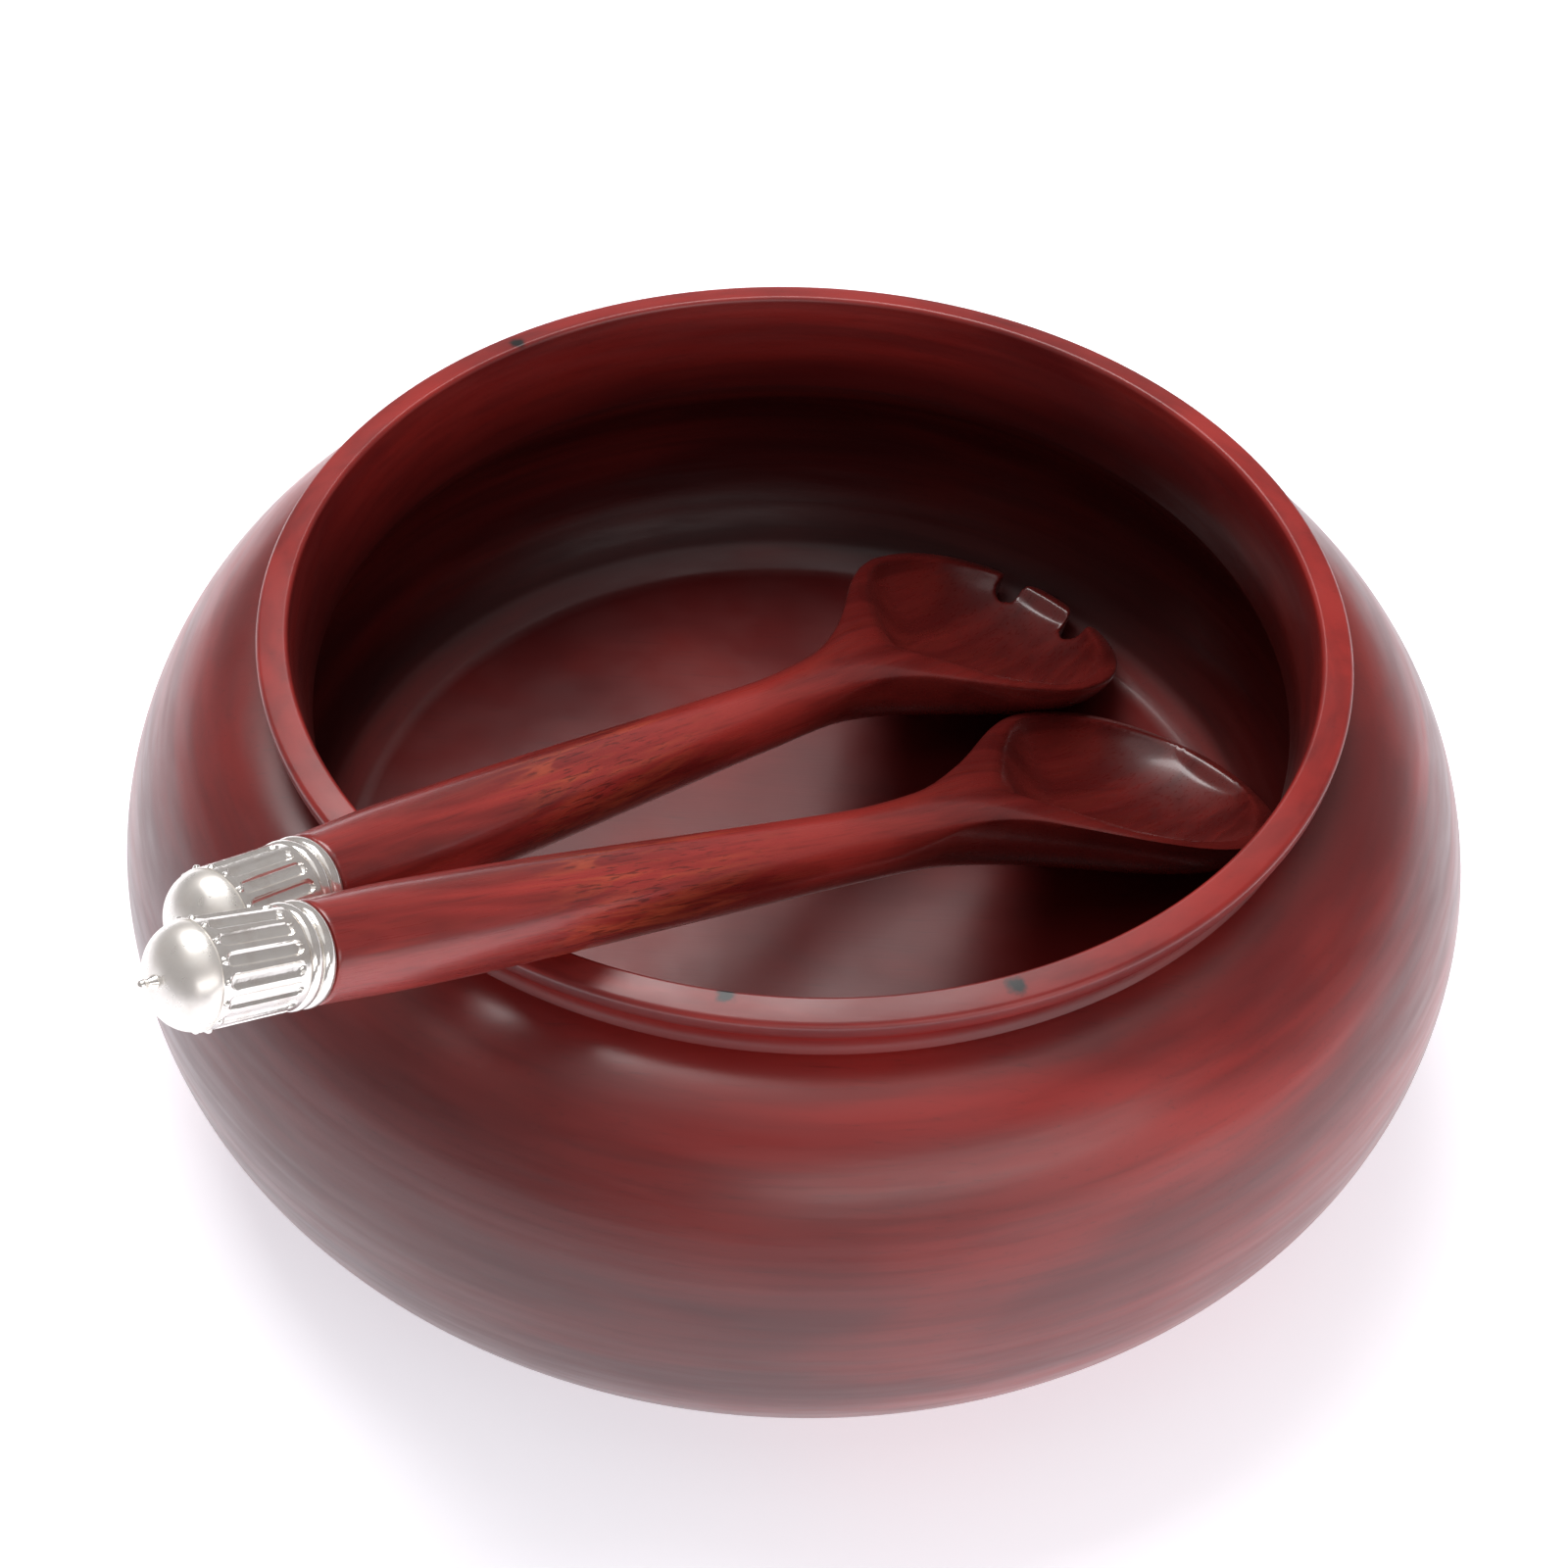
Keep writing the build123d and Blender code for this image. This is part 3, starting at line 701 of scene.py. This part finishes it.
class Nodes:
    """A new node material, with short calls that add nodes and return their output sockets."""

    def __init__(self, name, straight=False):
        self.material = bpy.data.materials.new(name)
        self.material.use_nodes = True
        self.tree = self.material.node_tree
        self.tree.nodes.clear()
        if straight:
            self.place = self.add("ShaderNodeAttribute", attribute_name="straight").outputs["Vector"]
        else:
            self.place = self.add("ShaderNodeTexCoord").outputs["Object"]

    def add(self, kind, *values, **named):
        node = self.tree.nodes.new(kind)
        for name, value in named.items():
            if name in node.inputs:
                self.feed(node.inputs[name], value)
            elif name.replace("_", " ") in node.inputs:
                self.feed(node.inputs[name.replace("_", " ")], value)
            else:
                setattr(node, name, value)
        for socket, value in zip(node.inputs, values):
            self.feed(socket, value)
        return node

    def feed(self, socket, value):
        if isinstance(value, bpy.types.NodeSocket):
            self.tree.links.new(value, socket)
        else:
            socket.default_value = value

    def math(self, operation, *values):
        return self.add("ShaderNodeMath", *values, operation=operation).outputs[0]

    def scaled(self, scale, vector=None):
        """Object coordinates multiplied by a scale for each axis, per millimetre."""
        factors = [s / MM for s in scale]
        place = vector or self.place
        return self.add("ShaderNodeVectorMath", place, factors, operation="MULTIPLY").outputs[0]

    def noise(self, vector, detail=3.0, roughness=0.5, distortion=0.0):
        return self.add("ShaderNodeTexNoise", Vector=vector, Scale=1.0, Detail=detail,
                        Roughness=roughness, Distortion=distortion).outputs["Fac"]

    def range(self, value, low, high, to_low=0.0, to_high=1.0):
        return self.add("ShaderNodeMapRange", value, low, high, to_low, to_high,
                        interpolation_type="SMOOTHSTEP").outputs[0]

    def fade(self, value, places, to_low=0.0, to_high=1.0):
        """A range between two places in millimetres."""
        return self.range(value, places[0] * MM, places[1] * MM, to_low, to_high)

    def mix(self, factor, a, b, blend="MIX"):
        node = self.tree.nodes.new("ShaderNodeMix")
        node.data_type = "RGBA"
        node.blend_type = blend
        self.feed(node.inputs[0], factor)
        self.feed(node.inputs[6], a)
        self.feed(node.inputs[7], b)
        return node.outputs[2]

    def bump(self, height, depth_mm, normal=None):
        node = self.add("ShaderNodeBump", Strength=1.0, Distance=depth_mm * MM, Height=height)
        if normal is not None:
            self.feed(node.inputs["Normal"], normal)
        return node.outputs[0]

    def surface(self, **inputs):
        shader = self.add("ShaderNodeBsdfPrincipled", **inputs)
        output = self.add("ShaderNodeOutputMaterial")
        self.tree.links.new(shader.outputs[0], output.inputs["Surface"])
        return self.material


def colour(red, green, blue):
    """A linear colour from 0-255 display values."""
    def linear(v):
        v /= 255
        return v / 12.92 if v <= 0.04045 else ((v + 0.055) / 1.055) ** 2.4
    return (linear(red), linear(green), linear(blue), 1.0)


RIM_KNOTS = [(-96.2, 111.4), (-67.7, 113.2), (128.8, 112.3)]
KNOT_RADIUS = 2.4


def radius_and_height(nodes):
    """The distance from the bowl's axis, and the height above its foot."""
    axes = nodes.add("ShaderNodeSeparateXYZ", nodes.place)
    flat = nodes.add("ShaderNodeCombineXYZ", axes.outputs[0], axes.outputs[1], 0.0).outputs[0]
    radius = nodes.add("ShaderNodeVectorMath", flat, operation="LENGTH").outputs["Value"]
    return radius, axes.outputs[2]


def knot_mask(nodes):
    """1 inside the small dark knots in the rim's face."""
    wobble = nodes.noise(nodes.scaled((0.6, 0.6, 0.6)))
    mask = 0.0
    for angle, radius in RIM_KNOTS:
        turn = math.radians(angle)
        centre = (radius * MM * math.cos(turn), radius * MM * math.sin(turn), BOWL_HEIGHT * MM)
        gap = nodes.add("ShaderNodeVectorMath", nodes.place, centre, operation="DISTANCE").outputs["Value"]
        gap = nodes.math("ADD", gap, nodes.math("MULTIPLY", wobble, 2.4 * MM))
        inside = nodes.fade(gap, (KNOT_RADIUS * 1.6, KNOT_RADIUS * 0.9))
        mask = nodes.math("MAXIMUM", inside, mask)
    return mask


def inside_mask(nodes):
    """1 in the hollow below the rim, 0 on the rim's face and outside."""
    radius, height = radius_and_height(nodes)
    in_the_neck = nodes.fade(radius, FACE_TO_NECK)
    in_the_hollow = nodes.math("MULTIPLY", nodes.fade(radius, OUTSIDE_TO_HOLLOW),
                               nodes.fade(height, NECK_TO_HOLLOW))
    depth = nodes.fade(height, RIM_TO_INSIDE)
    above_foot = nodes.fade(height, FOOT_TO_INSIDE)
    return nodes.math("MULTIPLY", nodes.math("MAXIMUM", in_the_neck, in_the_hollow),
                      nodes.math("MULTIPLY", depth, above_foot))


def rim_face_mask(nodes):
    """1 on the flat face of the rim."""
    radius, height = radius_and_height(nodes)
    return nodes.math("MULTIPLY", nodes.fade(height, LIP_TO_FACE), nodes.fade(radius, MOUTH_TO_FACE))


def bowl_wood():
    """Dark red turned wood under satin lacquer: soft layers that run round the bowl, and fine fibres; with
    painted shade darkening the hollow and the front left side, and painted light on the rim's face.
    """
    n = Nodes("bowl_wood")
    layers = n.noise(n.scaled((0.006, 0.004, 0.06)), 2, 0.5, 0.8)
    regions = n.noise(n.scaled((0.009, 0.007, 0.012)), 1, 0.5, 0.5)
    streaks = n.noise(n.scaled((0.02, 0.05, 0.5)), 4, 0.55, 0.3)
    fibres = n.noise(n.scaled((0.06, 1.1, 1.6)), 4, 0.65)
    mottle = n.noise(n.scaled((0.02, 0.02, 0.05)), 2, 0.5)
    inside = inside_mask(n)
    floor = n.fade(n.add("ShaderNodeSeparateXYZ", n.place).outputs[2], WALL_TO_FLOOR)
    base = n.mix(n.range(layers, 0.34, 0.68), colour(112, 22, 22), colour(168, 43, 38))
    base = n.mix(n.range(regions, 0.42, 0.64, 0.0, 0.55), base, colour(92, 17, 18))
    base = n.mix(n.range(mottle, 0.45, 0.7, 0.0, 0.4), base, colour(172, 50, 42))
    base = n.mix(n.range(streaks, 0.4, 0.75, 0.0, 0.35), base, colour(82, 15, 17))
    base = n.mix(n.range(fibres, 0.56, 0.74, 0.0, 0.3), base, colour(60, 11, 13))
    # painted shade: the bowl's front left side is coloured darker, standing in for the shade that side is
    # in
    side = n.add("ShaderNodeVectorMath", n.place, (-0.6, -0.8, 0.0),
                 operation="DOT_PRODUCT").outputs["Value"]
    base = n.mix(n.fade(side, PAINTED_SHADE_SIDE, 0.0, 0.75), base, colour(56, 10, 12))
    rim_face = rim_face_mask(n)
    # painted light: the rim's face is coloured lighter, standing in for the light that falls on it from
    # above
    painted_rim_light = n.math("MULTIPLY", rim_face, n.range(streaks, 0.35, 0.65, 0.45, 0.1))
    base = n.mix(painted_rim_light, base, colour(184, 46, 38))
    # painted shade: the hollow is coloured darker, most on its walls and less on its floor
    painted_hollow_shade = n.math("MULTIPLY", inside, n.range(floor, 0.0, 1.0, 0.8, 0.35))
    base = n.mix(painted_hollow_shade, base, colour(24, 7, 8))
    base = n.mix(knot_mask(n), base, colour(19, 16, 16))
    roughness = n.range(n.noise(n.scaled((0.05, 0.05, 0.4)), 4), 0.3, 0.7, 0.33, 0.45)
    grain = n.bump(fibres, 0.02)
    turning = n.noise(n.scaled((0.003, 0.003, 0.16)), 2, 0.4)
    normal = n.bump(turning, 0.4, grain)
    dull = n.math("MULTIPLY", inside, n.range(floor, 0.0, 0.5, 1.0, 0.0))
    gloss = n.math("SUBTRACT", n.range(inside, 0.0, 1.0, 0.5, 0.05), n.math("MULTIPLY", rim_face, 0.35))
    return n.surface(Base_Color=base, Roughness=roughness, IOR=1.52, Normal=normal,
                     Specular_IOR_Level=n.range(dull, 0.0, 1.0, 0.5, 0.18),
                     Coat_Weight=n.math("MAXIMUM", gloss, 0.0), Coat_Roughness=0.28, Coat_IOR=1.5)


def server_wood():
    """Smooth brown-red wood with orange figure and short dark pores on part of the handle, and painted
    shade that darkens the head.
    """
    n = Nodes("server_wood", straight=True)
    figure = n.noise(n.scaled((0.012, 0.09, 0.09)), 3, 0.55, 0.8)
    flame = n.noise(n.scaled((0.03, 0.28, 0.28)), 3, 0.6, 1.2)
    fibres = n.noise(n.scaled((0.05, 1.3, 1.3)), 4, 0.65)
    pores = n.noise(n.scaled((0.2, 2.2, 2.2)), 2, 0.5)
    along = n.add("ShaderNodeSeparateXYZ", n.place).outputs[0]
    figured = n.math("MULTIPLY", n.fade(along, FIGURE_STARTS), n.fade(along, FIGURE_ENDS))
    base = n.mix(n.range(figure, 0.36, 0.66), colour(118, 30, 28), colour(164, 50, 45))
    base = n.mix(n.range(fibres, 0.5, 0.75, 0.0, 0.35), base, colour(74, 16, 15))
    orange = n.math("MULTIPLY", n.range(flame, 0.42, 0.72), n.math("ADD", figured, 0.12))
    base = n.mix(n.math("MULTIPLY", orange, 0.45), base, colour(200, 92, 58))
    pore_mask = n.math("MULTIPLY", n.range(pores, 0.56, 0.66), n.math("ADD", figured, 0.1))
    base = n.mix(n.math("MULTIPLY", pore_mask, 0.5), base, colour(48, 15, 14))
    # painted shade: the head is coloured darker, standing in for the bowl's shade it lies in
    base = n.mix(n.fade(along, HEAD_PAINTED_SHADE, 0.0, 0.62), base, colour(58, 11, 10))
    roughness = n.range(fibres, 0.3, 0.75, 0.26, 0.36)
    normal = n.bump(pore_mask, -0.02, n.bump(fibres, 0.015))
    return n.surface(Base_Color=base, Roughness=roughness, IOR=1.52, Normal=normal,
                     Coat_Weight=0.5, Coat_Roughness=0.14, Coat_IOR=1.5)


def silver(name, roughness, metal, tint, tarnish, ripple):
    """Silver with faint cloudy tarnish, fine rubbing marks and a slightly uneven hand-worked surface."""
    n = Nodes(name, straight=True)
    clouds = n.noise(n.scaled((0.25, 0.25, 0.25)), 4, 0.6)
    marks = n.noise(n.scaled((1.1, 6.0, 6.0)), 3, 0.6)
    uneven = n.noise(n.scaled((0.5, 0.5, 0.5)), 2, 0.5)
    base = n.mix(n.range(clouds, 0.42, 0.75, 0.0, tarnish), colour(*tint), colour(216, 202, 190))
    rough = n.math("ADD", n.range(clouds, 0.3, 0.7, roughness * 0.8, roughness * 1.25),
                   n.range(marks, 0.55, 0.8, 0.0, 0.02))
    normal = n.bump(uneven, ripple, n.bump(marks, 0.001))
    return n.surface(Base_Color=base, Metallic=metal, Roughness=rough, Normal=normal)


def cement():
    """Hard, gritty, pale cement."""
    n = Nodes("cement")
    grit = n.noise(n.scaled((1.5, 1.5, 1.5)), 4, 0.7)
    base = n.mix(grit, colour(120, 112, 100), colour(176, 168, 152))
    rough = n.range(grit, 0.3, 0.7, 0.75, 0.95)
    return n.surface(Base_Color=base, Roughness=rough, Normal=n.bump(grit, 0.1))


def floor_material():
    """White paper that is lit evenly enough to look white."""
    n = Nodes("white_paper")
    fleck = n.noise(n.scaled((0.02, 0.02, 0.02)), 3, 0.5)
    base = n.mix(fleck, colour(246, 245, 250), colour(249, 249, 252))
    return n.surface(Base_Color=base, Roughness=0.7,
                     Emission_Color=colour(247, 247, 255), Emission_Strength=0.56)


# ---------------------------------------------------------------- stage

def build_floor():
    size = FLOOR_HALF_WIDTH
    corners = [(-size, -size, 0), (size, -size, 0), (size, size, 0), (-size, size, 0)]
    floor = mesh_object("floor", corners, [(0, 1, 2, 3)])
    floor.location.z = -FLOOR_DROP * MM
    floor.data.materials.append(floor_material())


def add_softbox(name, place, aim, size, brightness, tint):
    """A rectangular light whose face is as many times as bright as white paper in full light."""
    light = bpy.data.lights.new(name, "AREA")
    light.shape = "RECTANGLE"
    light.size, light.size_y = size
    light.energy = brightness * math.pi * size[0] * size[1]
    light.color = tint
    lamp = bpy.data.objects.new(name, light)
    lamp.location = place
    lamp.rotation_euler = (Vector(aim) - Vector(place)).to_track_quat("-Z", "Y").to_euler()
    bpy.context.scene.collection.objects.link(lamp)


def build_world():
    """A dim room for the light and the reflections; the camera itself sees a pale backdrop."""
    world = bpy.data.worlds.new("studio")
    bpy.context.scene.world = world
    world.use_nodes = True
    tree = world.node_tree
    room = tree.nodes["Background"]
    room.inputs["Color"].default_value = ROOM_COLOUR
    room.inputs["Strength"].default_value = ROOM_BRIGHTNESS
    backdrop = tree.nodes.new("ShaderNodeBackground")
    backdrop.inputs["Color"].default_value = BACKDROP_COLOUR
    path = tree.nodes.new("ShaderNodeLightPath")
    choice = tree.nodes.new("ShaderNodeMixShader")
    tree.links.new(path.outputs["Is Camera Ray"], choice.inputs[0])
    tree.links.new(room.outputs[0], choice.inputs[1])
    tree.links.new(backdrop.outputs[0], choice.inputs[2])
    tree.links.new(choice.outputs[0], tree.nodes["World Output"].inputs["Surface"])


def build_lights():
    for light in SOFTBOXES:
        add_softbox(*light)


def build_camera():
    """A 72 mm view from 45 degrees above, rolled slightly, towards the front of the bowl."""
    right = Vector((1, 0, 0))
    forward = Vector((0, math.cos(VIEW_ELEVATION), -math.sin(VIEW_ELEVATION)))
    up = Vector((0, math.sin(VIEW_ELEVATION), math.cos(VIEW_ELEVATION)))
    place = RIM_CENTRE - (VIEW_SHIFT_RIGHT * right + VIEW_SHIFT_UP * up + VIEW_DISTANCE * forward)
    across = math.cos(VIEW_ROLL) * right + math.sin(VIEW_ROLL) * up
    upward = math.cos(VIEW_ROLL) * up - math.sin(VIEW_ROLL) * right
    camera = bpy.data.objects.new("camera", bpy.data.cameras.new("camera"))
    camera.matrix_world = Matrix((across, upward, -forward)).transposed().to_4x4()
    camera.location = place
    camera.data.lens = LENS
    camera.data.sensor_width = 36.0
    camera.data.clip_start = 0.01
    bpy.context.scene.collection.objects.link(camera)
    bpy.context.scene.camera = camera


# ---------------------------------------------------------------- the scene

materials = {
    "bowl_wood": bowl_wood(),
    "server_wood": server_wood(),
    "polished_silver": silver("polished_silver", 0.14, 0.8, (252, 249, 244), 0.4, 0.06),
    "satin_silver": silver("satin_silver", 0.32, 0.7, (250, 246, 240), 0.25, 0.02),
    "cement": cement(),
}

build_bowl().data.materials.append(materials["bowl_wood"])
for kind in ("spoon", "fork"):
    build_server_wood(kind).data.materials.append(materials["server_wood"])
    build_cap(kind, materials)
    packed_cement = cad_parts[f"{kind}_cap_cement"]
    packed_cement.data.materials.clear()
    packed_cement.data.materials.append(materials["cement"])

build_floor()
build_world()
build_lights()
build_camera()
bpy.context.scene.view_settings.view_transform = "Standard"
bpy.context.scene.view_settings.look = "None"
